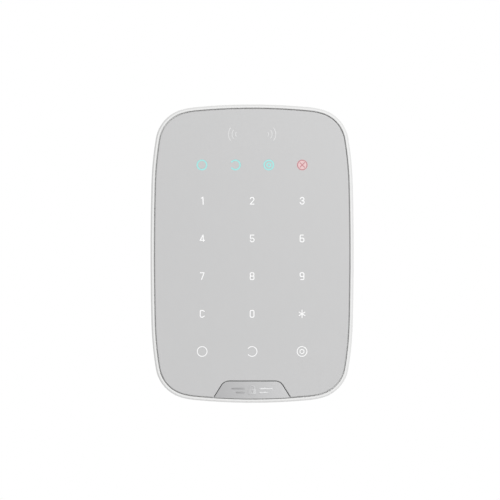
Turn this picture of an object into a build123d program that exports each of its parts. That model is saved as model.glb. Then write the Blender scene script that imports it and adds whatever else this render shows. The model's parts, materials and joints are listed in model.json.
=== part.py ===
"""Wireless alarm keypad with touch keys, a tag reader and a slide-off wall bracket.

Frame, in millimetres: +X to the right as a person faces the keypad, +Z up, +Y into the wall. The origin
is the centre of the bracket's wall face. Most pieces are stacked in layers, so a "depth" below is a
distance out from the wall: the plane at depth d is y = -d.
"""

from build123d import *
import math
import os

os.makedirs("parts", exist_ok=True)

# ---------------------------------------------------------------- driving dimensions
WIDTH = 112.7
HEIGHT = 165.4
DEPTH = 20.0  # wall to the front of the rim

# The outline is a chain of tangent arcs. These are the angles where they meet, from the side's normal.
ARC_ENDS = (1.5, 9.5, 74.5, 84.5)
SIDE_BLEND_R = 185.0
CORNER_R = 20.0
TOP_BLEND_R = 41.0

# Depths of the layers, from the wall outwards
PLATE_FRONT = 2.0  # wall bracket
REAR_EDGE = 0.6  # back of the rear housing's rim
FLOOR_BACK = 2.4  # floor of the bracket's recess
FLOOR_FRONT = 4.0
PARTING = 9.5  # where the two housings meet
BOARD_BACK = 15.6
BOARD_FRONT = 16.6
FLANGE_BACK = 16.7
FLANGE_FRONT = 18.0
PANEL_BACK = 18.15
PANEL_FRONT = 19.8

# How far inside the outline each edge of the layers lies
FRONT_WALL = 1.8
RIM_WIDTH = 1.85  # rim, measured across its top
PANEL_INSET = 2.36
BADGE_INSET = 2.12  # badge's lower edge
FLANGE_INSET = 11.5
SHEET_INSET = 12.0  # light guide and touch film
BOARD_INSET = 4.0
REAR_TAPER = 4.0  # rear edge
LIP_OUTER, LIP_INNER = 1.95, 3.0
FLOOR_INSET = 4.9  # inside of the rear housing, at its floor
RIM_BEVEL = 0.85  # at 45 degrees
RIM_BLEND = 0.4  # rounding between the bevel and the rim's flat top
RIM_INNER_BLEND = 0.4  # rounding of the rim's inner edge
PANEL_BLEND = 0.5  # rounding of the panel's front edge
FIT_GAP = 0.02  # round an inlaid legend

# Keys and lights
KEY_PITCH_X = 27.68
KEY_PITCH_Z = 20.9
FIRST_ROW_Z = 29.33
MODE_ROW_Z = -54.23
LIGHT_ROW_Z = 49.17
LIGHT_PITCH = 18.54
READER_Z = 66.24
READER_X = 7.5
READER_STROKE = 0.58
LEGEND_DEEP = 0.5
LEGEND_PROUD = 0.03
STROKE = 0.59
GLYPH_H = 1.88  # half height of a character's centre line
GLYPH_W = 1.04  # half width
MODE_R = 2.7
MODE_STROKE = 0.5
LIGHT_R = 2.6
LIGHT_STROKE = 0.82
LENS_R = 3.0

# Badge tab at the bottom
BADGE_TOP_Z = -70.82
BADGE_TOP_W = 15.49  # half width at its top, before the corners are rounded
BADGE_SLOPE = 0.63  # how much wider each millimetre lower
BADGE_CORNER_R = 5.0
BADGE_GAP = 0.35
BADGE_TILT = 2.2  # degrees
BADGE_BOW = 600.0  # radius of its face, which bulges slightly across its width
EMBLEM_BOW = 240.0
EMBLEM_PROUD = 0.27

# Screws and bosses
BOSS_INSET = 7.8
BOSS_R = 3.3
SCREW_R = 1.25
SCREW_HEAD_R = 2.3

# Wall bracket
PLATE_W, PLATE_H, PLATE_R = 88.0, 132.0, 15.7
PLATE_Z = 4.0
PLATE_GAP = 0.3
SLIDE_TRAVEL = 8.0
WALL_HOLE_R = 2.2
WALL_HOLE_DX, WALL_HOLE_DZ = 60.0, 104.0
SINK_R = 3.4
TAB_Z = -46.0
HOOK_X = 37.0
HOOK_ZS = (30.0, -26.0)
HOOK_TALL = 5.0
HOOK_STEM_W, HOOK_HEAD_W = 3.0, 7.0
HOOK_HEAD_BACK, HOOK_HEAD_FRONT = 4.3, 5.5

# Tamper plunger and power button
TAMPER_Z = -41.0
TAMPER_TIP = 2.1
TAMPER_TRAVEL = 1.2
POWER_X, POWER_Z = 26.0, -66.4
POWER_TRAVEL = 0.5
SWITCH_BACK = 12.1
SWITCH_SIDE = 6.0

# Four AAA cells
CELL_R = 5.25
CELL_LONG = 44.5
CELL_PITCH = 11.2
CELL_DEPTH = 9.45
TRAY_Z = 15.0


# ---------------------------------------------------------------- shared outlines
def layer(depth):
    """The plane at this depth from the wall. It faces the front, with local x along +X and y along +Z."""
    return Plane.XZ.offset(depth)


def outline_arcs():
    """(centre, radius, start angle, turn) of each of the outline's arcs, and the corner arc's centre."""
    ends = [math.radians(a) for a in (0, *ARC_ENDS, 90)]
    across = [math.cos(a) - math.cos(b) for a, b in zip(ends, ends[1:])]
    along = [math.sin(b) - math.sin(a) for a, b in zip(ends, ends[1:])]
    blends = (SIDE_BLEND_R, CORNER_R, TOP_BLEND_R)
    # The side's and the top's radii close the quarter at half the width and half the height.
    left_x = WIDTH / 2 - sum(r * c for r, c in zip(blends, across[1:4]))
    left_z = HEIGHT / 2 - sum(r * s for r, s in zip(blends, along[1:4]))
    det = across[0] * along[4] - across[4] * along[0]
    side_r = (left_x * along[4] - left_z * across[4]) / det
    top_r = (left_z * across[0] - left_x * along[0]) / det

    radii = (side_r, *blends, top_r)
    x, z = WIDTH / 2 - side_r, 0.0
    centres = [(x, z)]
    for before, after, angle in zip(radii, radii[1:], ends[1:]):
        x += (before - after) * math.cos(angle)
        z += (before - after) * math.sin(angle)
        centres.append((x, z))

    side_turn, top_turn = 2 * ARC_ENDS[0], 2 * (90 - ARC_ENDS[3])
    side_x, top_z = centres[0][0], centres[4][1]
    arcs = [
        ((side_x, 0), side_r, -side_turn / 2, side_turn),
        ((-side_x, 0), side_r, 180 - side_turn / 2, side_turn),
        ((0, top_z), top_r, 90 - top_turn / 2, top_turn),
        ((0, -top_z), top_r, 270 - top_turn / 2, top_turn),
    ]
    for (x, z), radius, start, end in zip(centres[1:4], radii[1:4], ARC_ENDS, ARC_ENDS[1:]):
        turn = end - start
        arcs.append(((x, z), radius, start, turn))
        arcs.append(((-x, z), radius, 180 - end, turn))
        arcs.append(((-x, -z), radius, 180 + start, turn))
        arcs.append(((x, -z), radius, 360 - end, turn))
    return arcs, centres[2]


OUTLINE_ARCS, CORNER_CENTRE = outline_arcs()


def outline(inset=0.0):
    """The keypad's outline as a face, moved in by inset."""
    with BuildSketch() as face:
        with BuildLine():
            for centre, radius, start, turn in OUTLINE_ARCS:
                CenterArc(centre, radius - inset, start, turn)
        make_face()
    return face.sketch


def badge_shape(grow=0.0):
    """The badge's tab, a trapezium with rounded top corners. grow widens it for the panel's notch."""
    top = BADGE_TOP_Z + grow
    low = -HEIGHT / 2
    side = grow * math.hypot(1, BADGE_SLOPE) - grow * BADGE_SLOPE
    half_top = BADGE_TOP_W + side
    half_low = half_top + BADGE_SLOPE * (top - low)
    with BuildSketch() as face:
        with BuildLine():
            Polyline((-half_low, low), (-half_top, top), (half_top, top), (half_low, low), close=True)
        make_face()
        fillet(face.vertices().group_by(Axis.Y)[-1], BADGE_CORNER_R + grow)
    return face.sketch


def boss_places():
    """Where the six case screws stand: one in each corner and one at the middle of each side."""
    lean = math.radians(42)
    x = CORNER_CENTRE[0] + (CORNER_R - BOSS_INSET) * math.cos(lean)
    z = CORNER_CENTRE[1] + (CORNER_R - BOSS_INSET) * math.sin(lean)
    middle = WIDTH / 2 - BOSS_INSET
    return [(x, z), (-x, z), (-x, -z), (x, -z), (middle, 0), (-middle, 0)]


BOSSES = boss_places()
KEY_COLUMNS = (-KEY_PITCH_X, 0, KEY_PITCH_X)
KEY_ROWS = [FIRST_ROW_Z - row * KEY_PITCH_Z for row in range(4)]
KEY_PLACES = [(x, z) for z in (*KEY_ROWS, MODE_ROW_Z) for x in KEY_COLUMNS]
LIGHT_PLACES = [((n - 1.5) * LIGHT_PITCH, LIGHT_ROW_Z) for n in range(4)]


# ---------------------------------------------------------------- characters and symbols
def stroke(x0, z0, x1, z1, pen):
    """A straight pen stroke with round ends, added to the sketch being made."""
    long = math.hypot(x1 - x0, z1 - z0)
    lean = math.degrees(math.atan2(z1 - z0, x1 - x0))
    with Locations(((x0 + x1) / 2, (z0 + z1) / 2)):
        SlotCenterToCenter(long, pen, rotation=lean)


def bend(x, z, radius, start, end, pen):
    """A pen stroke along an arc round (x, z), from one angle to the other, with round ends."""
    SlotArc(Edge.make_circle(radius, Plane((x, z, 0)), start, end), pen)


def loop(z, half_w, half_h, corner, pen):
    """A closed pen stroke along a rounded rectangle centred on (0, z)."""
    with Locations((0, z)):
        RectangleRounded(2 * half_w + pen, 2 * half_h + pen, corner + pen / 2)
        RectangleRounded(2 * half_w - pen, 2 * half_h - pen, corner - pen / 2, mode=Mode.SUBTRACT)


def character(mark, pen=STROKE):
    """One key's character, drawn with round pen strokes about (0, 0)."""
    h, w = GLYPH_H, GLYPH_W
    with BuildSketch() as face:
        if mark == "0":
            loop(0, w, h, 0.72, pen)
        elif mark == "1":
            stroke(0.58, -h, 0.4, h, pen + 0.06)
            stroke(0.4, h, -0.45, h - 0.4, pen)
        elif mark == "2":
            bend(0, h - w, w, -40, 168, pen)
            stroke(w * 0.766, h - w - w * 0.643, -w, -h, pen)
            stroke(-w, -h, w, -h, pen)
        elif mark == "3":
            bend(0.07, h - 0.98, 0.98, -72, 172, pen)
            bend(0.07, 1.08 - h, 1.08, -172, 75, pen)
            stroke(0, 0.08, 0.4, 0.08, pen)
        elif mark == "4":
            stroke(0.5, h, -1.12, -1.05, pen)
            stroke(-1.12, -1.05, 1.28, -1.05, pen)
            stroke(0.5, h, 0.72, -1.5, pen)
        elif mark == "5":
            stroke(w, h, -0.94, h, pen)
            stroke(-0.94, h, -0.94, 0.2, pen)
            bend(0.05, w - h, w, -160, 140, pen)
            stroke(-0.94, 0.2, -0.65, 0.05, pen)
        elif mark == "6":
            loop((0.2 - h) / 2, w, (h + 0.2) / 2, 0.7, pen)
            stroke(-w, -0.6, -w, h - 0.5, pen)
            bend(-w + 0.5, h - 0.5, 0.5, 90, 180, pen)
            stroke(-w + 0.5, h, w - 0.35, h, pen)
        elif mark == "7":
            stroke(-w, h, w, h, pen)
            stroke(w, h, -0.35, -h, pen)
        elif mark == "8":
            loop((h + 0.05) / 2, w - 0.05, (h - 0.05) / 2, 0.55, pen)
            loop((0.05 - h) / 2, w, (h + 0.05) / 2, 0.6, pen)
        elif mark == "9":
            loop((h - 0.2) / 2, w, (h + 0.2) / 2, 0.7, pen)
            stroke(w, 0.6, w, 0.5 - h, pen)
            bend(w - 0.5, 0.5 - h, 0.5, 270, 360, pen)
            stroke(w - 0.5, -h, 0.35 - w, -h, pen)
        elif mark == "C":
            stroke(-w, 0.6 - h, -w, h - 0.3, pen)
            bend(-w + 0.3, h - 0.3, 0.3, 90, 180, pen)
            stroke(-w + 0.3, h, 0.45, h, pen)
            stroke(0.45, h, w + 0.12, h - 0.5, pen)
            bend(-w + 0.75, 0.75 - h, 0.75, 180, 270, pen)
            stroke(-w + 0.75, -h, 0.3, -h, pen)
            stroke(0.3, -h, w + 0.12, 0.65 - h, pen)
        elif mark == "*":
            for lean, reach in ((30, 1.9), (90, 2.15), (150, 1.9)):
                x, z = reach * math.cos(math.radians(lean)), reach * math.sin(math.radians(lean))
                stroke(-x, -z, x, z, pen - 0.05)
    return face.sketch


def mode_symbol(kind, radius, pen):
    """The arm, disarm and night symbols: a ring, a ring open on the left, and a ring within a ring."""
    with BuildSketch() as face:
        if kind == "open":
            bend(0, 0, radius, -140, 140, pen)
        else:
            Circle(radius + pen / 2)
            Circle(radius - pen / 2, mode=Mode.SUBTRACT)
        if kind == "double":
            Circle(radius * 0.42 + pen / 2)
            Circle(radius * 0.42 - pen / 2, mode=Mode.SUBTRACT)
    return face.sketch


def reader_waves(side, pen):
    """Three waves that open towards the middle, on the left (-1) or the right (1) of the reader."""
    with BuildSketch() as face:
        for radius, half_turn in ((1.7, 40), (3.6, 39), (5.6, 37)):
            start = -half_turn if side > 0 else 180 - half_turn
            bend(side * READER_X, READER_Z, radius, start, start + 2 * half_turn, pen)
    return face.sketch


KEY_MARKS = list(zip("123456789C0*", KEY_PLACES))
MODE_KINDS = ("ring", "open", "double")
MODE_PLACES = [(x, MODE_ROW_Z) for x in KEY_COLUMNS]


def legends(group, gap=0.0):
    """All the shapes of one group of legends, in place. gap widens them for the pockets they fill."""
    with BuildSketch() as faces:
        if group == "keys":
            for mark, place in KEY_MARKS:
                with Locations(place):
                    add(character(mark, STROKE + 2 * gap))
        elif group == "modes":
            for kind, place in zip(MODE_KINDS, MODE_PLACES):
                with Locations(place):
                    add(mode_symbol(kind, MODE_R, MODE_STROKE + 2 * gap))
        elif group == "lights":
            for kind, place in zip(MODE_KINDS, LIGHT_PLACES):
                with Locations(place):
                    add(mode_symbol(kind, LIGHT_R, LIGHT_STROKE + 2 * gap))
        elif group == "fault":
            with Locations(LIGHT_PLACES[3]):
                Circle(LENS_R + gap)
        elif group == "reader":
            add(reader_waves(-1, READER_STROKE + 2 * gap))
            add(reader_waves(1, READER_STROKE + 2 * gap))
    return faces.sketch


def write(part, name):
    """Labels a finished piece and writes it under its node's name."""
    part.label = name
    export_step(part, f"parts/{name}.step")


# ---------------------------------------------------------------- front housing
with BuildPart() as front_housing:
    with BuildSketch(layer(PARTING)):
        add(outline())
    extrude(amount=DEPTH - PARTING)
    chamfer(front_housing.faces().sort_by(Axis.Y)[0].outer_wire().edges(), RIM_BEVEL)
    fillet(front_housing.edges().group_by(Axis.Y)[0], RIM_BLEND)
    # cavity behind the flange, the flange's window, and the seat in front that the panel drops into
    with BuildSketch(layer(PARTING)):
        add(outline(FRONT_WALL))
    extrude(amount=FLANGE_BACK - PARTING, mode=Mode.SUBTRACT)
    with BuildSketch(layer(FLANGE_BACK)):
        add(outline(FLANGE_INSET))
    extrude(amount=DEPTH - FLANGE_BACK, mode=Mode.SUBTRACT)
    with BuildSketch(layer(FLANGE_FRONT)):
        add(outline(RIM_WIDTH))
    extrude(amount=DEPTH - FLANGE_FRONT, mode=Mode.SUBTRACT)
    rim_inner = front_housing.faces().filter_by(Axis.Y).sort_by(Axis.Y)[0].inner_wires()[0]
    fillet(rim_inner.edges(), RIM_INNER_BLEND)
    chamfer(front_housing.faces().filter_by(Axis.Y).sort_by(Axis.Y)[-1].outer_wire().edges(), 0.25)
    # screw bosses
    with BuildSketch(layer(PARTING + 0.1)):
        with Locations(*BOSSES):
            Circle(BOSS_R)
    extrude(amount=FLANGE_BACK - PARTING - 0.1)
    with BuildSketch(layer(PARTING + 0.1)):
        with Locations(*BOSSES):
            Circle(SCREW_R + 0.03)
    extrude(amount=5.6, mode=Mode.SUBTRACT)
write(front_housing.part, "front_housing")

# ---------------------------------------------------------------- panel and its inlays
with BuildPart() as touch_panel:
    with BuildSketch(layer(PANEL_BACK)):
        add(outline(PANEL_INSET))
        add(badge_shape(BADGE_GAP), mode=Mode.SUBTRACT)
    extrude(amount=PANEL_FRONT - PANEL_BACK)
    fillet(touch_panel.faces().sort_by(Axis.Y)[0].outer_wire().edges(), PANEL_BLEND)
    with BuildSketch(layer(PANEL_FRONT)):
        for group in ("keys", "modes", "lights", "fault", "reader"):
            add(legends(group, FIT_GAP))
    extrude(amount=-LEGEND_DEEP, mode=Mode.SUBTRACT)
write(touch_panel.part, "touch_panel")


def inlay(group, name):
    """One group of legends as solids that fill their pockets in the panel."""
    with BuildPart() as piece:
        with BuildSketch(layer(PANEL_FRONT - LEGEND_DEEP)):
            add(legends(group))
        extrude(amount=LEGEND_DEEP + LEGEND_PROUD)
    write(piece.part, name)


inlay("keys", "key_legends")
inlay("modes", "mode_legends")
inlay("lights", "status_windows")
inlay("reader", "reader_mark")


def fault_strokes(pen):
    """The ring and cross of the fault light."""
    reach = 1.25
    with BuildSketch() as face:
        with Locations(LIGHT_PLACES[3]):
            add(mode_symbol("ring", 2.62, pen))
            stroke(-reach, -reach, reach, reach, pen)
            stroke(-reach, reach, reach, -reach, pen)
    return face.sketch


with BuildPart() as fault_window:
    with BuildSketch(layer(PANEL_FRONT - LEGEND_DEEP)):
        add(legends("fault"))
    extrude(amount=LEGEND_DEEP + LEGEND_PROUD)
    with BuildSketch(layer(PANEL_FRONT + LEGEND_PROUD)):
        add(fault_strokes(0.44 + 2 * FIT_GAP))
    extrude(amount=-0.25, mode=Mode.SUBTRACT)
write(fault_window.part, "fault_window")

with BuildPart() as fault_symbol:
    with BuildSketch(layer(PANEL_FRONT + LEGEND_PROUD - 0.25)):
        add(fault_strokes(0.44))
    extrude(amount=0.27)
write(fault_symbol.part, "fault_symbol")

# ---------------------------------------------------------------- badge
BADGE_FACE = Plane(
    origin=(0, -PANEL_FRONT, BADGE_TOP_Z),
    x_dir=(1, 0, 0),
    z_dir=(0, -math.cos(math.radians(BADGE_TILT)), -math.sin(math.radians(BADGE_TILT))),
)


def bowed(radius, proud=0.0):
    """A cylinder that runs up the badge, whose front line is proud of the badge's face."""
    back = BADGE_FACE.origin - BADGE_FACE.z_dir * (radius - proud)
    with BuildPart() as body:
        with BuildSketch(Plane(origin=back, x_dir=(1, 0, 0), z_dir=BADGE_FACE.y_dir)):
            Circle(radius)
        extrude(amount=25, both=True)
    return body.part


with BuildPart() as badge_plate:
    with BuildSketch(layer(PANEL_BACK)):
        add(badge_shape())
        add(outline(BADGE_INSET), mode=Mode.INTERSECT)
    extrude(amount=DEPTH - PANEL_BACK)
    add(bowed(BADGE_BOW), mode=Mode.INTERSECT)
    fillet(badge_plate.faces().sort_by(Axis.Y)[0].outer_wire().edges(), 0.18)
write(badge_plate.part, "badge_plate")

with BuildPart() as badge_emblem:
    with BuildSketch(BADGE_FACE.offset(-0.5)):
        # a padlock between two bars
        with Locations((0, -5.7)):
            RectangleRounded(4.4, 3.1, 0.5)
        with Locations((0, -5.6)):
            Circle(0.55, mode=Mode.SUBTRACT)
        bend(0, -3.6, 1.35, 0, 180, 0.55)
        stroke(-1.35, -3.6, -1.35, -4.3, 0.55)
        stroke(1.35, -3.6, 1.35, -4.3, 0.55)
        for side in (-1, 1):
            stroke(side * 4.4, -4.0, side * 11.0, -4.0, 0.8)
            stroke(side * 4.4, -6.2, side * 8.6, -6.2, 0.8)
    extrude(amount=1.2)
    add(bowed(EMBLEM_BOW, EMBLEM_PROUD), mode=Mode.INTERSECT)
    add(bowed(BADGE_BOW), mode=Mode.SUBTRACT)
write(badge_emblem.part, "badge_emblem")

# ---------------------------------------------------------------- behind the panel
with BuildPart() as panel_adhesive:
    with BuildSketch(layer(FLANGE_FRONT)):
        add(outline(PANEL_INSET + 0.4))
        add(outline(FLANGE_INSET - 0.5), mode=Mode.SUBTRACT)
    extrude(amount=PANEL_BACK - FLANGE_FRONT)
write(panel_adhesive.part, "panel_adhesive")

FILM_BACK = PANEL_BACK - 0.3
with BuildPart() as touch_film:
    with BuildSketch(layer(FILM_BACK)):
        add(outline(SHEET_INSET))
    extrude(amount=PANEL_BACK - FILM_BACK)
write(touch_film.part, "touch_film")

ELECTRODE_BACK = FILM_BACK - 0.05
with BuildPart() as touch_electrodes:
    with BuildSketch(layer(ELECTRODE_BACK)):
        with Locations(*KEY_PLACES):
            RectangleRounded(14, 13, 2)
            Circle(3.5, mode=Mode.SUBTRACT)
    extrude(amount=FILM_BACK - ELECTRODE_BACK)
write(touch_electrodes.part, "touch_electrodes")

READER_LIGHTS = [(-READER_X - 4, READER_Z), (READER_X + 4, READER_Z)]
CONNECTOR_Z = -66.5
GUIDE_BACK, GUIDE_FRONT = 16.75, 17.7
with BuildPart() as light_guide:
    with BuildSketch(layer(GUIDE_BACK)):
        add(outline(SHEET_INSET))
        with Locations((0, CONNECTOR_Z - 1.5)):
            Rectangle(16, 9, mode=Mode.SUBTRACT)
        with Locations(*KEY_PLACES, *LIGHT_PLACES, *READER_LIGHTS):
            RectangleRounded(2.8, 2.0, 0.5, mode=Mode.SUBTRACT)
    extrude(amount=GUIDE_FRONT - GUIDE_BACK)
write(light_guide.part, "light_guide")


def chips(places, wide, tall, thick, name):
    """A group of light-emitting chips on the board's front."""
    with BuildPart() as piece:
        with BuildSketch(layer(BOARD_FRONT)):
            with Locations(*places):
                Rectangle(wide, tall)
        extrude(amount=thick)
        fillet(piece.faces().group_by(Axis.Y)[0].edges(), 0.12)
    write(piece.part, name)


chips(KEY_PLACES + READER_LIGHTS, 1.6, 0.8, 0.6, "key_leds")
chips(LIGHT_PLACES, 2.0, 1.25, 0.7, "status_leds")

CONNECTOR_FRONT = BOARD_FRONT + 0.9
with BuildPart() as tail_connector:
    with BuildSketch(layer(BOARD_FRONT)):
        with Locations((0, CONNECTOR_Z)):
            Rectangle(13, 3.6)
    extrude(amount=0.9)
write(tail_connector.part, "tail_connector")

with BuildPart() as sensor_tail:
    with BuildSketch(layer(CONNECTOR_FRONT)):
        with Locations((0, CONNECTOR_Z)):
            Rectangle(10, 3.2)
    extrude(amount=FILM_BACK - CONNECTOR_FRONT)
write(sensor_tail.part, "sensor_tail")

# ---------------------------------------------------------------- circuit board
PEG_PLACES = [(x, TRAY_Z + z) for x in (-19, 19) for z in (-24.5, 24.5)]
with BuildPart() as main_board:
    with BuildSketch(layer(BOARD_BACK)):
        add(outline(BOARD_INSET))
        with Locations(*BOSSES):
            Circle(BOSS_R + 0.9, mode=Mode.SUBTRACT)
        with Locations(*PEG_PLACES):
            Circle(1.1, mode=Mode.SUBTRACT)
    extrude(amount=BOARD_FRONT - BOARD_BACK)
write(main_board.part, "main_board")

COIL_Z, COIL_W, COIL_H = 62.0, 72.0, 22.0
COIL_TURNS, COIL_PITCH, TRACK = 4, 1.2, 0.7
with BuildPart() as reader_coil:
    with BuildSketch(layer(BOARD_FRONT)):
        for turn in range(COIL_TURNS):
            in_by = 2 * turn * COIL_PITCH
            with Locations((0, COIL_Z)):
                RectangleRounded(COIL_W - in_by, COIL_H - in_by, 4 - turn * 0.8)
                inner = (COIL_W - in_by - 2 * TRACK, COIL_H - in_by - 2 * TRACK)
                RectangleRounded(*inner, 3.3 - turn * 0.8, mode=Mode.SUBTRACT)
        crossing = COIL_TURNS * COIL_PITCH - 0.5
        with Locations((14, COIL_Z - COIL_H / 2 + crossing / 2)):
            Rectangle(TRACK, crossing)
    extrude(amount=0.08)
write(reader_coil.part, "reader_coil")


def board_boxes(*boxes):
    """Components on the back of the board, from (x, z, width, height, thickness) boxes."""
    with BuildPart() as piece:
        for x, z, wide, tall, thick in boxes:
            with BuildSketch(layer(BOARD_BACK)):
                with Locations((x, z)):
                    RectangleRounded(wide, tall, 0.2)
            extrude(amount=-thick)
    return piece.part


write(board_boxes((31, -8, 9, 9, 1.0), (-31, -8, 7, 7, 0.9), (31, 51, 5, 5, 0.9)), "controller_chips")

with BuildPart() as radio_module:
    add(board_boxes((-16, 54, 18, 13, 2.4)))
    fillet(radio_module.faces().sort_by(Axis.Y)[-1].edges(), 0.5)
write(radio_module.part, "radio_module")

ANTENNA_Z = 73.5
with BuildPart() as radio_antenna:
    # a bent strip: two feet on the board and a bar standing off it
    with BuildSketch(Plane.XY.offset(ANTENNA_Z)):
        with BuildLine():
            Polyline((-24, -BOARD_BACK), (-24, -9.2), (24, -9.2), (24, -BOARD_BACK))
            offset(amount=0.25, side=Side.BOTH)
        make_face()
        with Locations((0, -BOARD_BACK - 1)):
            Rectangle(60, 2, mode=Mode.SUBTRACT)
    extrude(amount=3.0)
write(radio_antenna.part, "radio_antenna")

with BuildPart() as board_capacitors:
    with BuildSketch(layer(BOARD_BACK)):
        with Locations((34, 10), (34, 17), (-34, 12)):
            Circle(2.5)
    extrude(amount=-5.4)
    fillet(board_capacitors.faces().group_by(Axis.Y)[-1].edges(), 0.4)
write(board_capacitors.part, "board_capacitors")

BUZZER_X, BUZZER_Z = -26.0, -57.0
with BuildPart() as buzzer:
    with BuildSketch(layer(BOARD_BACK)):
        with Locations((BUZZER_X, BUZZER_Z)):
            Circle(6)
    extrude(amount=-4.5)
    fillet(buzzer.faces().sort_by(Axis.Y)[-1].edges(), 0.5)
    with BuildSketch(layer(BOARD_BACK - 4.5)):
        with Locations((BUZZER_X, BUZZER_Z)):
            Circle(1)
    extrude(amount=1.5, mode=Mode.SUBTRACT)
write(buzzer.part, "buzzer")

# ---------------------------------------------------------------- cells and their tray
TRAY_W, TRAY_H = 47.0, 54.0
TRAY_WALL = 1.2
TRAY_OPEN, TRAY_FLOOR = 6.2, 14.8
with BuildPart() as battery_tray:
    with BuildSketch(layer(TRAY_OPEN)):
        with Locations((0, TRAY_Z)):
            RectangleRounded(TRAY_W, TRAY_H, 1.5)
    extrude(amount=BOARD_BACK - TRAY_OPEN)
    with BuildSketch(layer(TRAY_OPEN)):
        with Locations((0, TRAY_Z)):
            RectangleRounded(TRAY_W - 2 * TRAY_WALL, TRAY_H - 2 * TRAY_WALL, 0.6)
    extrude(amount=TRAY_FLOOR - TRAY_OPEN, mode=Mode.SUBTRACT)
    with BuildSketch(layer(TRAY_FLOOR)):
        # lightening windows between the cells
        with Locations(*[(n * CELL_PITCH, TRAY_Z) for n in (-1, 0, 1)]):
            RectangleRounded(3, 34, 1)
    extrude(amount=BOARD_BACK - TRAY_FLOOR, mode=Mode.SUBTRACT)
    with BuildSketch(layer(BOARD_BACK)):
        with Locations(*PEG_PLACES):
            Circle(1.0)
    extrude(amount=BOARD_FRONT - BOARD_BACK)
write(battery_tray.part, "battery_tray")

CELL_XS = [(n - 1.5) * CELL_PITCH for n in range(4)]
CELL_UPS = (1, -1, 1, -1)  # the cells alternate end for end
CAP_LONG = 1.1
PLATE_THICK = 0.3
TRAY_END = TRAY_H / 2 - TRAY_WALL
CAP_END = TRAY_END - PLATE_THICK - 0.05  # the cap rests on its contact, and a spring fills the other end
SPRING_ROOM = TRAY_END - PLATE_THICK + CAP_END - CELL_LONG
for number, (cell_x, up) in enumerate(zip(CELL_XS, CELL_UPS), start=1):
    with BuildPart() as cell:
        with BuildSketch(Plane.XY.offset(TRAY_Z + up * (CAP_END - CELL_LONG))):
            with Locations((cell_x, -CELL_DEPTH)):
                Circle(CELL_R)
        extrude(amount=up * (CELL_LONG - CAP_LONG))
        fillet(cell.edges().filter_by(GeomType.CIRCLE), 0.5)
        with BuildSketch(Plane.XY.offset(TRAY_Z + up * (CAP_END - CAP_LONG))):
            with Locations((cell_x, -CELL_DEPTH)):
                Circle(1.9)
        extrude(amount=up * CAP_LONG)
        fillet(cell.edges().filter_by(GeomType.CIRCLE).sort_by(Axis.Z)[-1 if up > 0 else 0], 0.3)
    write(cell.part, f"cell_{number}")

with BuildPart() as battery_contacts:
    for end in (-1, 1):
        with BuildSketch(Plane.XY.offset(TRAY_Z + end * (TRAY_END - PLATE_THICK))):
            with Locations(*[(cell_x, -CELL_DEPTH) for cell_x in CELL_XS]):
                Rectangle(8, 7)
        extrude(amount=end * PLATE_THICK)
write(battery_contacts.part, "battery_contacts")


def coil_spring(radius, wire, turns, long):
    """A coil spring that stands on the XY plane."""
    with BuildPart() as spring:
        with BuildLine() as path:
            Helix((long - wire) / turns, long - wire, radius, center=(0, 0, wire / 2))
        with BuildSketch(Plane(origin=path.line @ 0, z_dir=path.line % 0)):
            Circle(wire / 2)
        sweep(is_frenet=True)
    return spring.part


with BuildPart() as battery_springs:
    # one at the flat end of each cell
    spring = coil_spring(2.7, 0.5, 4, SPRING_ROOM - 0.1)
    for cell_x, up in zip(CELL_XS, CELL_UPS):
        foot = TRAY_Z - up * (TRAY_END - PLATE_THICK - 0.05)
        with Locations(Location((cell_x, -CELL_DEPTH, foot), (0 if up > 0 else 180, 0, 0))):
            add(spring)
write(battery_springs.part, "battery_springs")


# ---------------------------------------------------------------- tamper and power switches
STEM_BACK, STEM_FRONT = 11.3, 13.3


def switch_body(x, z, travel):
    """A push switch on the back of the board, with a well that its stem can sink into by its travel."""
    well = STEM_FRONT - SWITCH_BACK + travel + 0.2
    with BuildPart() as piece:
        with BuildSketch(layer(SWITCH_BACK)):
            with Locations((x, z)):
                RectangleRounded(SWITCH_SIDE, SWITCH_SIDE, 0.6)
        extrude(amount=BOARD_BACK - SWITCH_BACK)
        with BuildSketch(layer(SWITCH_BACK)):
            with Locations((x, z)):
                Circle(1.6)
        extrude(amount=well, mode=Mode.SUBTRACT)
    return piece.part


def turned(x, z, steps):
    """A round piece along the depth axis at (x, z), from (back depth, front depth, radius) steps."""
    with BuildPart() as piece:
        for back, front, radius in steps:
            with BuildSketch(layer(back)):
                with Locations((x, z)):
                    Circle(radius)
            extrude(amount=front - back)
    return piece.part


write(switch_body(0, TAMPER_Z, TAMPER_TRAVEL), "tamper_switch")
write(turned(0, TAMPER_Z, [(STEM_BACK, STEM_FRONT, 1.5)]), "tamper_switch_stem")
FLANGE_AT = FLOOR_FRONT + 0.3
with BuildPart() as tamper_plunger:
    add(
        turned(
            0,
            TAMPER_Z,
            [
                (TAMPER_TIP, FLANGE_AT, 1.8),
                (FLANGE_AT, FLANGE_AT + 1, 2.9),
                (FLANGE_AT + 1, STEM_BACK, 1.5),
            ],
        )
    )
    fillet(tamper_plunger.edges().filter_by(GeomType.CIRCLE).sort_by(Axis.Y)[-1], 0.5)
write(tamper_plunger.part, "tamper_plunger")

spring_long = SWITCH_BACK - FLANGE_AT - 1.1
with BuildPart() as tamper_spring:
    with Locations(Location((0, -(FLANGE_AT + 1.05), TAMPER_Z), (90, 0, 0))):
        add(coil_spring(2.25, 0.4, 5, spring_long))
write(tamper_spring.part, "tamper_spring")

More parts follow.
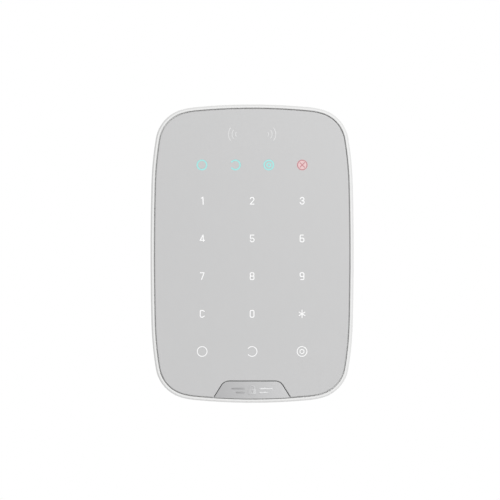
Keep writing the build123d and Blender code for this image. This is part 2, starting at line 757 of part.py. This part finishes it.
write(switch_body(POWER_X, POWER_Z, POWER_TRAVEL), "power_switch")
write(turned(POWER_X, POWER_Z, [(STEM_BACK, STEM_FRONT, 1.5)]), "power_switch_stem")
POWER_BACK = FLOOR_BACK + 0.15
with BuildPart() as power_button:
    add(
        turned(
            POWER_X,
            POWER_Z,
            [
                (POWER_BACK, FLOOR_FRONT + 0.15, 3.0),
                (FLOOR_FRONT + 0.15, FLOOR_FRONT + 1.0, 3.8),
                (FLOOR_FRONT + 1.0, STEM_BACK, 1.5),
            ],
        )
    )
    fillet(power_button.edges().filter_by(GeomType.CIRCLE).sort_by(Axis.Y)[-1], 0.3)
    # an on-off symbol engraved in its face, which looks towards the wall
    with BuildSketch(layer(POWER_BACK)):
        with Locations((POWER_X, POWER_Z)):
            bend(0, 0, 1.35, -235, 55, 0.35)
            stroke(0, 0.4, 0, 1.7, 0.35)
    extrude(amount=0.2, mode=Mode.SUBTRACT)
write(power_button.part, "power_button")

# ---------------------------------------------------------------- rear housing
RECESS_W, RECESS_R = PLATE_W + 2 * PLATE_GAP, PLATE_R + PLATE_GAP
RECESS_TOP = PLATE_Z + PLATE_H / 2 + PLATE_GAP
RECESS_LOW = PLATE_Z - PLATE_H / 2 - SLIDE_TRAVEL - 0.8
POST_PLACES = [(x, z) for x in (-44, 44) for z in (-34, 37)] + [(-12, -61.5), (12, -61.5)]
SOUND_HOLES = [(BUZZER_X + 3.2 * n, z) for n in (-2, -1, 0, 1, 2) for z in (-68.0, -65.0)]
with BuildPart() as rear_housing:
    for depth, inset in ((PARTING, 0.0), (REAR_EDGE, REAR_TAPER)):
        with BuildSketch(layer(depth)):
            add(outline(inset))
    loft(ruled=True)
    fillet(rear_housing.faces().sort_by(Axis.Y)[-1].edges(), 1.4)
    chamfer(rear_housing.faces().sort_by(Axis.Y)[0].edges(), 0.25)
    for depth, inset in ((PARTING, LIP_INNER), (FLOOR_FRONT, FLOOR_INSET)):
        with BuildSketch(layer(depth)):
            add(outline(inset))
    loft(ruled=True, mode=Mode.SUBTRACT)
    # lip that locates in the front housing
    with BuildSketch(layer(PARTING - 0.5)):
        add(outline(LIP_OUTER))
        add(outline(LIP_INNER), mode=Mode.SUBTRACT)
    extrude(amount=2.0)
    # posts: six for the screws and six that press the board against the flange
    with BuildSketch(layer(FLOOR_FRONT - 0.5)):
        with Locations(*BOSSES):
            Circle(BOSS_R)
    extrude(amount=PARTING - FLOOR_FRONT + 0.5)
    with BuildSketch(layer(FLOOR_FRONT - 0.5)):
        with Locations(*POST_PLACES):
            Circle(2.0)
    extrude(amount=BOARD_BACK - 0.05 - FLOOR_FRONT + 0.5)
    # sleeves round the tamper plunger and the power button
    with BuildSketch(layer(FLOOR_FRONT - 0.5)):
        with Locations((0, TAMPER_Z), (POWER_X, POWER_Z)):
            Circle(4.9)
            Circle(3.95, mode=Mode.SUBTRACT)
    extrude(amount=2.6)
    # recess for the bracket
    with BuildSketch(layer(FLOOR_BACK)):
        with Locations((0, (RECESS_TOP + RECESS_LOW) / 2)):
            RectangleRounded(RECESS_W, RECESS_TOP - RECESS_LOW, RECESS_R)
    extrude(amount=-FLOOR_BACK, mode=Mode.SUBTRACT)
    recess_edge = rear_housing.faces().filter_by(Axis.Y).sort_by(Axis.Y)[-1].inner_wires()[0]
    chamfer(recess_edge.edges(), 0.4)
    # keyholes for the hooks: narrow where the stems rest, wide where the heads pass
    with BuildSketch(layer(FLOOR_BACK - 1)):
        for hook_x in (-HOOK_X, HOOK_X):
            for hook_z in HOOK_ZS:
                slot_top = HOOK_TALL / 2 + 0.05
                with Locations((hook_x, hook_z + slot_top)):
                    Rectangle(
                        HOOK_STEM_W + 0.4, slot_top + SLIDE_TRAVEL, align=(Align.CENTER, Align.MAX)
                    )
                with Locations((hook_x, hook_z - SLIDE_TRAVEL)):
                    RectangleRounded(HOOK_HEAD_W + 0.8, HOOK_TALL + 1.4, 0.8)
    extrude(amount=3.0, mode=Mode.SUBTRACT)
    # holes through the floor
    with BuildSketch(layer(FLOOR_BACK - 1)):
        with Locations((0, TAMPER_Z)):
            Circle(1.95)
        with Locations((POWER_X, POWER_Z)):
            Circle(3.2)
        with Locations(*SOUND_HOLES):
            Circle(0.7)
    extrude(amount=3.0, mode=Mode.SUBTRACT)
    # screw holes, with a seat for each head
    with BuildSketch(layer(0)):
        with Locations(*BOSSES):
            Circle(SCREW_R + 0.2)
    extrude(amount=PARTING + 2, mode=Mode.SUBTRACT)
    with BuildSketch(layer(0)):
        with Locations(*BOSSES):
            Circle(SCREW_HEAD_R + 0.35)
    extrude(amount=3.0, mode=Mode.SUBTRACT)
write(rear_housing.part, "rear_housing")

with BuildPart() as case_screws:
    with BuildSketch(layer(1.4)):
        with Locations(*BOSSES):
            Circle(SCREW_HEAD_R)
    extrude(amount=1.6)
    fillet(case_screws.faces().group_by(Axis.Y)[-1].edges(), 0.5)
    with BuildSketch(layer(3.0)):
        with Locations(*BOSSES):
            Circle(SCREW_R)
    extrude(amount=11.5)
    with BuildSketch(layer(1.4)):
        with Locations(*BOSSES):
            SlotOverall(2.6, 0.6)
            SlotOverall(2.6, 0.6, rotation=90)
    extrude(amount=0.9, mode=Mode.SUBTRACT)
write(case_screws.part, "case_screws")

LABEL_THICK = 0.12
with BuildPart() as id_label:
    with BuildSketch(layer(FLOOR_BACK - LABEL_THICK)):
        with Locations((0, 12)):
            RectangleRounded(42, 26, 2)
    extrude(amount=LABEL_THICK)
write(id_label.part, "id_label")

# ---------------------------------------------------------------- wall bracket
WALL_HOLES = [(x * WALL_HOLE_DX / 2, PLATE_Z + z * WALL_HOLE_DZ / 2) for x in (-1, 1) for z in (-1, 1)]
TAB_HOLE = (0, TAB_Z - 5)
RELIEFS = [(x, z) for x in (-15, 15) for z in (-14, 14, 42)]
with BuildPart() as mounting_bracket:
    with BuildSketch(layer(0)):
        with Locations((0, PLATE_Z)):
            RectangleRounded(PLATE_W, PLATE_H, PLATE_R)
        # the break-off tab hangs on four bridges
        with Locations((0, TAB_Z)):
            RectangleRounded(27, 23, 3, mode=Mode.SUBTRACT)
            RectangleRounded(24, 20, 1.5)
            Rectangle(30, 1.6)
            Rectangle(1.6, 25)
        with Locations(*WALL_HOLES, TAB_HOLE):
            Circle(WALL_HOLE_R, mode=Mode.SUBTRACT)
    extrude(amount=PLATE_FRONT)
    chamfer(mounting_bracket.faces().sort_by(Axis.Y)[0].outer_wire().edges(), 0.3)
    chamfer(mounting_bracket.faces().sort_by(Axis.Y)[-1].outer_wire().edges(), 0.3)
    # countersinks on the keypad's side
    for place in (*WALL_HOLES, TAB_HOLE):
        with BuildSketch(layer(PLATE_FRONT)):
            with Locations(place):
                Circle(SINK_R)
        with BuildSketch(layer(PLATE_FRONT - (SINK_R - WALL_HOLE_R))):
            with Locations(place):
                Circle(WALL_HOLE_R)
        loft(mode=Mode.SUBTRACT)
    # shallow reliefs on the wall side, and an arrow that points up
    with BuildSketch(layer(0)):
        with Locations(*RELIEFS):
            RectangleRounded(22, 24, 2.5)
        with Locations((0, 61.5)):
            RegularPolygon(3.2, 3, rotation=90)
    extrude(amount=0.7, mode=Mode.SUBTRACT)
    # hooks
    with BuildSketch(layer(PLATE_FRONT)):
        for hook_z in HOOK_ZS:
            with Locations((-HOOK_X, hook_z), (HOOK_X, hook_z)):
                Rectangle(HOOK_STEM_W, HOOK_TALL)
    extrude(amount=HOOK_HEAD_BACK - PLATE_FRONT)
    with BuildSketch(layer(HOOK_HEAD_BACK)):
        for hook_z in HOOK_ZS:
            with Locations((-HOOK_X, hook_z), (HOOK_X, hook_z)):
                RectangleRounded(HOOK_HEAD_W, HOOK_TALL, 0.6)
    extrude(amount=HOOK_HEAD_FRONT - HOOK_HEAD_BACK)
    chamfer(mounting_bracket.faces().group_by(Axis.Y)[0].edges(), 0.3)
write(mounting_bracket.part, "mounting_bracket")
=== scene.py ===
"""Looks, light and camera for the alarm keypad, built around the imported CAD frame.

Lengths are in metres unless a name ends in _mm. The CAD frame has +Z up and the keys facing -Y.
"""

import json
import math

import bpy
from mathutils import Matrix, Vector


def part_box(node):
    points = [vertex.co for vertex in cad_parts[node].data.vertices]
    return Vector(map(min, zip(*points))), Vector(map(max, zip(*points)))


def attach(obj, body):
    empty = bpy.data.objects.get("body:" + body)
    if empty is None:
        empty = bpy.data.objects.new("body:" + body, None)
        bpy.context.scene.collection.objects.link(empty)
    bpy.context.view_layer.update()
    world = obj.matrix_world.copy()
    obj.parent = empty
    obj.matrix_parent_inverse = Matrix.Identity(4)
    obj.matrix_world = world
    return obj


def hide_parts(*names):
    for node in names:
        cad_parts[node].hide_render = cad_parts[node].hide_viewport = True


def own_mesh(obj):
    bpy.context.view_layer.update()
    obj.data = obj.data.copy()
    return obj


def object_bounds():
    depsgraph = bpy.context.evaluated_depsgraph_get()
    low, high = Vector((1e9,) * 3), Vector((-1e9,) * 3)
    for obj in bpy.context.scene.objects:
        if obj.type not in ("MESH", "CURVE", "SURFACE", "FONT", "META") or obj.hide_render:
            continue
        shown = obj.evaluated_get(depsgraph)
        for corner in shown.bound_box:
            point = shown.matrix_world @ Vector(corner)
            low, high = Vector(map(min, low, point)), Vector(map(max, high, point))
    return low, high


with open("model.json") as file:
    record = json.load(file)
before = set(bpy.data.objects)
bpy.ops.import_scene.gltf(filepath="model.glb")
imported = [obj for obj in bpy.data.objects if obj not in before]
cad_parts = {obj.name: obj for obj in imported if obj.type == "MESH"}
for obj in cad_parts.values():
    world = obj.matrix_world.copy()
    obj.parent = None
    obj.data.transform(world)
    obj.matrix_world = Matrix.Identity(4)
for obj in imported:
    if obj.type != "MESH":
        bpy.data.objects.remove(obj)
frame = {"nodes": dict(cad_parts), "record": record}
CAD_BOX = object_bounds()
NODES = frame["nodes"]
MM = 0.001


# ---------------------------------------------------------------- material recipes
class Recipe:
    """One procedural material: a Principled shader and the textures that feed it.

    Textures run in the frame's own coordinates, so a size in millimetres is its size on the object.
    """

    def __init__(self, name, roughness=0.5, **settings):
        self.material = bpy.data.materials.new(name)
        self.material.use_nodes = True
        self.tree = self.material.node_tree
        self.shader = self.tree.nodes["Principled BSDF"]
        self.shader.inputs["Roughness"].default_value = roughness
        for socket, value in settings.items():
            self.shader.inputs[socket.replace("_", " ")].default_value = value
        self.place = self.node("ShaderNodeTexCoord").outputs["Object"]

    def node(self, kind, **settings):
        made = self.tree.nodes.new(kind)
        for key, value in settings.items():
            setattr(made, key, value)
        return made

    def feed(self, value, socket):
        """Links an output to a socket, or sets the socket to a constant."""
        if isinstance(value, bpy.types.NodeSocket):
            self.tree.links.new(value, socket)
        else:
            socket.default_value = value

    def noise(self, size_mm, detail=3.0, stretch=(1, 1, 1)):
        """Noise from 0 to 1 whose blotches are about size_mm across.

        They are longer along an axis with a low stretch.
        """
        mapping = self.node("ShaderNodeMapping")
        self.feed(self.place, mapping.inputs["Vector"])
        mapping.inputs["Scale"].default_value = stretch
        made = self.node("ShaderNodeTexNoise")
        self.feed(mapping.outputs["Vector"], made.inputs["Vector"])
        made.inputs["Scale"].default_value = 1 / (size_mm * MM)
        made.inputs["Detail"].default_value = detail
        return made.outputs["Fac"]

    def cells(self, size_mm):
        """The distance to the nearest of many scattered points, about size_mm apart."""
        made = self.node("ShaderNodeTexVoronoi")
        self.feed(self.place, made.inputs["Vector"])
        made.inputs["Scale"].default_value = 1 / (size_mm * MM)
        return made.outputs["Distance"]

    def waves(self, scale):
        """Soft stripes side by side along X, from 0 to 1."""
        made = self.node("ShaderNodeTexWave", bands_direction="X")
        self.feed(self.place, made.inputs["Vector"])
        made.inputs["Scale"].default_value = scale
        return made.outputs["Fac"]

    def seams(self, scale, seam, width, height, **settings):
        """1 on the seams of a brick pattern that stands in the XZ plane, and 0 between them."""
        turned = self.node("ShaderNodeMapping")
        turned.inputs["Rotation"].default_value = (math.radians(90), 0, 0)
        self.feed(self.place, turned.inputs["Vector"])
        made = self.node("ShaderNodeTexBrick", **settings)
        self.feed(turned.outputs["Vector"], made.inputs["Vector"])
        for socket, value in (("Scale", scale), ("Mortar Size", seam),
                              ("Brick Width", width), ("Row Height", height)):
            made.inputs[socket].default_value = value
        return self.maths("GREATER_THAN", made.outputs["Fac"], 0.5)

    def axis(self, name):
        """One of the frame's coordinates, X, Y or Z."""
        split = self.node("ShaderNodeSeparateXYZ")
        self.feed(self.place, split.inputs["Vector"])
        return split.outputs[name]

    def facing(self, name):
        """The surface normal's component along one of the frame's axes."""
        split = self.node("ShaderNodeSeparateXYZ")
        self.feed(self.node("ShaderNodeNewGeometry").outputs["Normal"], split.inputs["Vector"])
        return split.outputs[name]

    def maths(self, operation, a, b=0.0):
        made = self.node("ShaderNodeMath", operation=operation)
        self.feed(a, made.inputs[0])
        self.feed(b, made.inputs[1])
        return made.outputs[0]

    def span(self, value, low, high, start=0.0, end=1.0):
        """value rescaled from start..end to low..high, and held at the ends."""
        made = self.node("ShaderNodeMapRange")
        for socket, number in zip(("Value", "From Min", "From Max", "To Min", "To Max"),
                                  (value, start, end, low, high)):
            self.feed(number, made.inputs[socket])
        return made.outputs["Result"]

    def blend(self, share, first, second):
        """first where share is 0 and second where it is 1. Each is a colour or an output."""
        made = self.node("ShaderNodeMix", data_type="RGBA")
        self.feed(share, made.inputs["Factor"])
        for value, socket in ((first, made.inputs["A"]), (second, made.inputs["B"])):
            self.feed(value if isinstance(value, bpy.types.NodeSocket) else (*value, 1), socket)
        return made.outputs["Result"]

    def colour(self, value):
        self.feed(value, self.shader.inputs["Base Color"])
        return self

    def rough(self, value):
        self.feed(value, self.shader.inputs["Roughness"])
        return self

    def bump(self, height, depth_mm):
        """Adds relief, depth_mm deep where height goes from 0 to 1, on top of any before it."""
        made = self.node("ShaderNodeBump")
        made.inputs["Distance"].default_value = depth_mm * MM
        self.feed(height, made.inputs["Height"])
        before = self.shader.inputs["Normal"].links
        if before:
            self.feed(before[0].from_socket, made.inputs["Normal"])
        self.feed(made.outputs["Normal"], self.shader.inputs["Normal"])
        return self


def shade(colour, factor):
    """A colour made lighter or darker."""
    return tuple(min(1.0, c * factor) for c in colour)


SHADE_DRIFT_MM, GLOSS_DRIFT_MM = 14, 5
GLOSS_SWING = 0.05
MOST_NOISE = (0.3, 0.7)  # nearly all of a noise's values lie between these


def plastic(name, colour, roughness=None, grain_mm=0.25, depth_mm=0.006, mottle=0.02, **settings):
    """Moulded plastic: a fine even grain, and a slow drift in shade.

    The gloss drifts too, about the roughness. Without one it is left to the caller.
    """
    made = Recipe(name, **settings)
    drift = made.noise(SHADE_DRIFT_MM, 2)
    made.colour(made.blend(drift, shade(colour, 1 - mottle), shade(colour, 1 + mottle)))
    if roughness is not None:
        gloss = made.noise(GLOSS_DRIFT_MM, 3)
        made.rough(made.span(gloss, roughness - GLOSS_SWING, roughness + GLOSS_SWING, *MOST_NOISE))
    return made.bump(made.noise(grain_mm, 2), depth_mm)


def ink(name, colour, roughness=0.55, painted_glow=0.0):
    """Inlaid marking: a dense colour with a faint stipple, and a faint painted glow, as if lit from
    behind, though nothing behind it gives light.
    """
    # the emission is a painted glow: nothing behind the marking is lit
    made = Recipe(name, Emission_Color=(*colour, 1), Emission_Strength=painted_glow)
    speck = made.span(made.noise(0.12, 3), 0, 1, 0.35, 0.65)
    made.colour(made.blend(speck, shade(colour, 0.985), shade(colour, 1.01)))
    made.rough(made.span(made.noise(0.4, 2), roughness - 0.05, roughness + 0.08))
    return made.bump(made.noise(0.09, 2), 0.003)


def metal(name, colour, roughness, stretch=(1, 1, 1), size_mm=0.4):
    """Metal with fine rolling or drawing lines, long along the axes with a low stretch."""
    made = Recipe(name, Metallic=1.0)
    lines = made.noise(size_mm, 4, stretch)
    made.colour(made.blend(made.noise(6, 2), shade(colour, 0.93), shade(colour, 1.04)))
    made.rough(made.span(lines, roughness - 0.08, roughness + 0.12, *MOST_NOISE))
    return made.bump(lines, 0.003)


# ---------------------------------------------------------------- one recipe for each finish
HOUSING = (0.815, 0.815, 0.81)
PANEL = (0.58, 0.58, 0.582)
BADGE_CROWN, BADGE_LEAN = 0.5, 0.02
EMBLEM_CROWN, EMBLEM_LEAN = 0.07, 0.06


def housing_white():
    return plastic("housing_white", HOUSING, 0.42, mottle=0.006)


def bracket_white():
    return plastic("bracket_white", shade(HOUSING, 0.95), 0.5, grain_mm=0.35, depth_mm=0.012,
                   mottle=0.012)


def panel_grey():
    """A satin lens: nearly smooth, with faint marks left by fingers."""
    made = plastic("panel_grey", PANEL, grain_mm=0.16, depth_mm=0.002, mottle=0.003)
    smears = made.span(made.noise(9, 5, (1, 1, 0.6)), 0, 1, 0.5, 0.72)
    return made.rough(made.span(smears, 0.35, 0.4))


def legend_white():
    # the legends get a faint painted glow
    return ink("legend_white", (0.94, 0.94, 0.94), painted_glow=0.055)


def reader_grey():
    return ink("reader_grey", (0.74, 0.74, 0.74))


def light_cyan():
    # the cyan marks get a fainter painted glow
    return ink("light_cyan", (0.37, 0.78, 0.755), 0.4, 0.02)


def fault_pink():
    return ink("fault_pink", (0.81, 0.56, 0.567), 0.4)


def fault_red():
    return ink("fault_red", (0.565, 0.22, 0.25), 0.4)


def crowned(made, radius, lean):
    """Shades a face as if it bulged across its width to this radius and leaned up by this slope."""
    across = made.axis("X")
    bulge = made.maths("DIVIDE", made.maths("MULTIPLY", across, across), -2 * radius)
    rise = made.maths("MULTIPLY", made.axis("Z"), -lean)
    return made.bump(made.maths("ADD", bulge, rise), 1 / MM)


def badge_grey():
    """Satin paint with a metallic flake, matt where its edge rounds over."""
    made = plastic("badge_grey", (0.53, 0.53, 0.535), grain_mm=0.1, depth_mm=0.002, mottle=0.01,
                   Metallic=0.6)
    made.rough(made.span(made.facing("Y"), 0.44, 0.9, -1.0, -0.9))
    return crowned(made, BADGE_CROWN, BADGE_LEAN)


def emblem_silver():
    """Metal brushed across its width."""
    made = metal("emblem_silver", (0.5, 0.5, 0.505), 0.45, (0.15, 1, 1), 0.2)
    return crowned(made, EMBLEM_CROWN, EMBLEM_LEAN)


def adhesive():
    return plastic("adhesive", (0.02, 0.02, 0.022), 0.8, grain_mm=0.5, depth_mm=0.03, mottle=0.2)


def film():
    return plastic("film", (0.66, 0.7, 0.72), 0.15, grain_mm=0.6, depth_mm=0.002)


def electrode():
    return metal("electrode", (0.62, 0.63, 0.65), 0.4)


def guide():
    """Diffusing light guide, milky, with moulded dimples."""
    made = plastic("guide", (0.8, 0.84, 0.86), 0.12, grain_mm=0.8, depth_mm=0.004)
    return made.bump(made.span(made.cells(1.2), 1, 0, 0.0, 0.5), 0.03)


def led():
    """Yellow phosphor behind clear resin."""
    made = Recipe("led", roughness=0.15)
    made.colour(made.blend(made.noise(0.15, 3), (0.8, 0.62, 0.16), (0.92, 0.8, 0.4)))
    return made.bump(made.noise(0.3, 1), 0.005)


IVORY = (0.74, 0.68, 0.52)
TRACK_WAVES = 310  # the tail's tracks and the contacts they end in are one pitch


def connector():
    """Ivory housing with a row of contact slots sunk along it, and a painted shade, a darker copy
    of the ivory, in the slots.
    """
    made = plastic("connector", IVORY, 0.5)
    slots_and_painted_shade = made.span(made.waves(TRACK_WAVES), 0, 1, 0.75, 0.85)
    # painted shade: the sunk slots are coloured a darker copy of the ivory
    made.colour(made.blend(slots_and_painted_shade, IVORY, (0.45, 0.4, 0.3)))
    return made.bump(slots_and_painted_shade, -0.1)


def flex_amber():
    """Polyimide tail with its copper tracks showing through."""
    made = Recipe("flex_amber", roughness=0.25)
    tracks = made.waves(TRACK_WAVES)
    made.colour(made.blend(tracks, (0.48, 0.2, 0.03), (0.7, 0.34, 0.12)))
    return made.bump(tracks, 0.01)


def board_green():
    """Solder resist over tracks, with plated holes."""
    made = Recipe("board_green", roughness=0.3)
    track = made.seams(90, seam=0.018, width=0.9, height=0.14, offset=0.37, squash=1.6)
    resist = made.blend(made.noise(20, 2), (0.008, 0.1, 0.04), (0.014, 0.13, 0.055))
    covered = made.blend(track, resist, (0.02, 0.2, 0.085))
    hole = made.maths("LESS_THAN", made.cells(3.4), 0.075)
    made.colour(made.blend(hole, covered, (0.72, 0.6, 0.4)))
    made.feed(hole, made.shader.inputs["Metallic"])
    return made.bump(track, 0.03).bump(hole, 0.03)


def copper():
    return metal("copper", (0.78, 0.4, 0.22), 0.3)


def chip_black():
    return plastic("chip_black", (0.02, 0.02, 0.022), 0.55, grain_mm=0.12, depth_mm=0.012,
                   mottle=0.15)


def shield():
    return metal("shield", (0.66, 0.67, 0.68), 0.3, (0.1, 1, 1), 0.3)


def antenna():
    return metal("antenna", (0.74, 0.6, 0.34), 0.28, (0.15, 1, 1))


def capacitor():
    """A dark sleeve round the can, and bare aluminium on the end that faces the wall."""
    made = Recipe("capacitor", roughness=0.35)
    end = made.maths("GREATER_THAN", made.facing("Y"), 0.8)
    sleeve = made.blend(made.noise(1.5, 3), (0.015, 0.03, 0.1), (0.02, 0.045, 0.14))
    made.colour(made.blend(end, sleeve, (0.6, 0.6, 0.62)))
    made.feed(end, made.shader.inputs["Metallic"])
    return made.bump(made.noise(0.2, 2), 0.006)


def buzzer_black():
    return plastic("buzzer_black", (0.016, 0.016, 0.017), 0.4, grain_mm=0.2, mottle=0.15)


def tray_grey():
    return plastic("tray_grey", (0.055, 0.058, 0.062), 0.55, grain_mm=0.3, depth_mm=0.015,
                   mottle=0.06)


def spring_steel():
    return metal("spring_steel", (0.62, 0.62, 0.64), 0.22)


def contact_nickel():
    return metal("contact_nickel", (0.7, 0.68, 0.64), 0.26, (1, 1, 0.2))


def switch_black():
    return plastic("switch_black", (0.018, 0.018, 0.02), 0.45, grain_mm=0.15, mottle=0.12)


def stem_white():
    return plastic("stem_white", (0.74, 0.74, 0.72), 0.4, grain_mm=0.2)


def button_grey():
    return plastic("button_grey", (0.34, 0.35, 0.36), 0.45, grain_mm=0.2, depth_mm=0.008)


def screw_zinc():
    """Zinc plate with fine turning marks."""
    return metal("screw_zinc", (0.62, 0.64, 0.66), 0.3, (1, 0.3, 1), 0.25)


def label_silver():
    """Blank silver film, with ruled boxes and no lettering."""
    made = Recipe("label_silver", roughness=0.32, Metallic=0.5)
    line = made.seams(70, seam=0.012, width=0.9, height=0.45, offset=0.0)
    made.colour(made.blend(line, (0.62, 0.63, 0.64), (0.12, 0.12, 0.13)))
    return made.bump(made.noise(0.5, 3), 0.004)


# Each of these makes the finish of the record's material slot that has its name.
FINISHES = {
    make.__name__: make
    for make in (housing_white, bracket_white, panel_grey, legend_white, reader_grey, light_cyan,
                 fault_pink, fault_red, badge_grey, emblem_silver, adhesive, film, electrode, guide,
                 led, connector, flex_amber, board_green, copper, chip_black, shield, antenna,
                 capacitor, buzzer_black, tray_grey, spring_steel, contact_nickel, switch_black,
                 stem_white, button_grey, screw_zinc, label_silver)
}

# Along a cell, from 0 at its foot to 1 at its cap
BAND_START = 0.7
RULE_MIDDLE, RULE_HALF = 0.69, 0.006
SLEEVE_MIDDLE, SLEEVE_HALF = 0.49, 0.47


def cell_jacket(node):
    """A printed sleeve: dark, with a pale rule and a copper band at the cap's end.

    Bare metal shows at both ends.
    """
    low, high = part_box(node)
    # of each pair, the cell that stands cap up reaches higher
    up = high.z > max(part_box(f"cell_{n}")[1].z for n in (1, 2)) - MM
    cap, foot = (high.z, low.z) if up else (low.z, high.z)
    made = Recipe(node + "_jacket", roughness=0.28)
    along = made.span(made.axis("Z"), 0, 1, foot, cap)

    def away(middle):
        return made.maths("ABSOLUTE", made.maths("SUBTRACT", along, middle))

    jacket = made.blend(made.noise(3, 3), (0.018, 0.026, 0.05), (0.026, 0.036, 0.066))
    band = made.maths("GREATER_THAN", along, BAND_START)
    rule = made.maths("LESS_THAN", away(RULE_MIDDLE), RULE_HALF)
    sleeve = made.blend(band, jacket, (0.55, 0.27, 0.12))
    sleeve = made.blend(rule, sleeve, (0.75, 0.75, 0.75))
    bare = made.maths("GREATER_THAN", away(SLEEVE_MIDDLE), SLEEVE_HALF)
    made.colour(made.blend(bare, sleeve, (0.66, 0.66, 0.67)))
    made.feed(made.maths("MAXIMUM", bare, band), made.shader.inputs["Metallic"])
    return made.bump(made.noise(0.4, 2), 0.004)


def paint_nodes():
    """Gives every CAD node the material of its slot in the record."""
    made = {name: make().material for name, make in FINISHES.items()}
    for part in frame["record"]["subparts"]:
        node, slot = part["node"], part["material_slot"]
        material = cell_jacket(node).material if slot == "cell_jacket" else made[slot]
        mesh = NODES[node].data
        mesh.materials.clear()
        mesh.materials.append(material)


# ---------------------------------------------------------------- the tamper spring
COIL_WIRE = 0.4 * MM
COIL_TURNS = 5
COIL_STEPS, COIL_SIDES = 120, 10


def tamper_coil():
    """The tamper spring, wound again in its own box and held at the switch's end.

    It stands in for the CAD spring, which is hidden.
    """
    low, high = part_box("tamper_spring")
    wire = COIL_WIRE / 2
    radius = (high.x - low.x) / 2 - wire
    rise = high.y - low.y - COIL_WIRE
    rings = []
    for step in range(COIL_STEPS + 1):
        share = step / COIL_STEPS
        turn = 2 * math.pi * COIL_TURNS * share
        out = Vector((math.cos(turn), 0, math.sin(turn)))
        middle = Vector(((low.x + high.x) / 2, low.y + wire + rise * share,
                         (low.z + high.z) / 2))
        for side in range(COIL_SIDES):
            around = 2 * math.pi * side / COIL_SIDES
            along = Vector((0, wire * math.sin(around), 0))
            rings.append(middle + out * (radius + wire * math.cos(around)) + along)
    last = COIL_STEPS * COIL_SIDES
    faces = [tuple(reversed(range(COIL_SIDES))), tuple(range(last, len(rings)))]
    for ring in range(0, last, COIL_SIDES):
        for side in range(COIL_SIDES):
            after = (side + 1) % COIL_SIDES
            faces.append((ring + side, ring + after,
                          ring + COIL_SIDES + after, ring + COIL_SIDES + side))
    mesh = bpy.data.meshes.new("tamper_coil")
    mesh.from_pydata(rings, [], faces)
    mesh.materials.append(NODES["tamper_spring"].data.materials[0])
    mesh.shade_smooth()
    coil = bpy.data.objects.new("tamper_coil", mesh)
    bpy.context.scene.collection.objects.link(coil)
    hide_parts("tamper_spring")
    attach(coil, "keypad")
    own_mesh(coil)


# ---------------------------------------------------------------- floor, light and camera
FLOOR_DROP = 0.3  # how far it lies below the keypad
FLOOR_RADIUS = 0.45
FLOOR_SIDES = 96
FRAME_WIDE = 0.27715  # what the camera takes in at the rim, across the picture
CAMERA_X, CAMERA_Z = -0.00116, 0.00202  # the camera looks straight at the front from here
LENS_MM = 200.0
BRIGHT_SIDE = (0.71, 0.0, 0.71)  # the studio is brighter on this side
WALL_BLEND = 0.3  # it goes from dim to bright over this much either side of square-on, as a cosine
DIM_WALL, BRIGHT_WALL = 0.485, 0.545
KEY_PLACE = (0.62, -2.02, 0.64)
KEY_SIZE = 0.75
KEY_WATTS = 24.5
BACK_PLACE = (-0.8, 1.7, 0.9)
BACK_SIZE = 1.0
BACK_WATTS = 20.0


def make_floor():
    """A pale round floor, well below the keypad, which hangs as if on a wall."""
    bpy.ops.mesh.primitive_circle_add(vertices=FLOOR_SIDES, radius=FLOOR_RADIUS, fill_type="NGON",
                                      location=(0, 0, CAD_BOX[0].z - FLOOR_DROP))
    floor = bpy.context.object
    floor.name = "floor"
    paint = plastic("floor_paint", (0.8, 0.8, 0.8), 0.8, grain_mm=1.5, depth_mm=0.05, mottle=0.01)
    floor.data.materials.append(paint.material)


def make_world():
    """A white background for the camera, and a softer, nearly even light on the object."""
    world = bpy.data.worlds.new("studio")
    bpy.context.scene.world = world
    world.use_nodes = True
    nodes, links = world.node_tree.nodes, world.node_tree.links
    back = nodes["Background"]
    back.inputs["Color"].default_value = (1, 1, 1, 1)
    towards = nodes.new("ShaderNodeTexCoord").outputs["Generated"]
    lean = nodes.new("ShaderNodeVectorMath")
    lean.operation = "DOT_PRODUCT"
    lean.inputs[1].default_value = BRIGHT_SIDE
    walls = nodes.new("ShaderNodeMapRange")
    walls.interpolation_type = "SMOOTHSTEP"
    seen = nodes.new("ShaderNodeMix")
    for socket, value in (("From Min", -WALL_BLEND), ("From Max", WALL_BLEND),
                          ("To Min", DIM_WALL), ("To Max", BRIGHT_WALL)):
        walls.inputs[socket].default_value = value
    seen.inputs["B"].default_value = 1.0
    links.new(towards, lean.inputs[0])
    links.new(lean.outputs["Value"], walls.inputs["Value"])
    links.new(walls.outputs["Result"], seen.inputs["A"])
    links.new(nodes.new("ShaderNodeLightPath").outputs["Is Camera Ray"], seen.inputs["Factor"])
    links.new(seen.outputs["Result"], back.inputs["Strength"])


def softbox(name, place, size, watts):
    """A square area light that looks at the middle of the keypad."""
    data = bpy.data.lights.new(name, "AREA")
    data.shape = "SQUARE"
    data.size = size
    data.energy = watts
    light = bpy.data.objects.new(name, data)
    bpy.context.scene.collection.objects.link(light)
    light.location = place
    light.rotation_euler = (-Vector(place)).to_track_quat("-Z", "Y").to_euler()


def make_camera():
    data = bpy.data.cameras.new("camera")
    data.lens = LENS_MM
    camera = bpy.data.objects.new("camera", data)
    bpy.context.scene.collection.objects.link(camera)
    rim = CAD_BOX[0].y
    away = FRAME_WIDE * LENS_MM / data.sensor_width
    camera.location = (CAMERA_X, rim - away, CAMERA_Z)
    camera.rotation_euler = (math.radians(90), 0, 0)
    bpy.context.scene.camera = camera


paint_nodes()
tamper_coil()
make_floor()
make_world()
softbox("key", KEY_PLACE, KEY_SIZE, KEY_WATTS)
softbox("back", BACK_PLACE, BACK_SIZE, BACK_WATTS)
make_camera()
bpy.context.scene.view_settings.view_transform = "Standard"
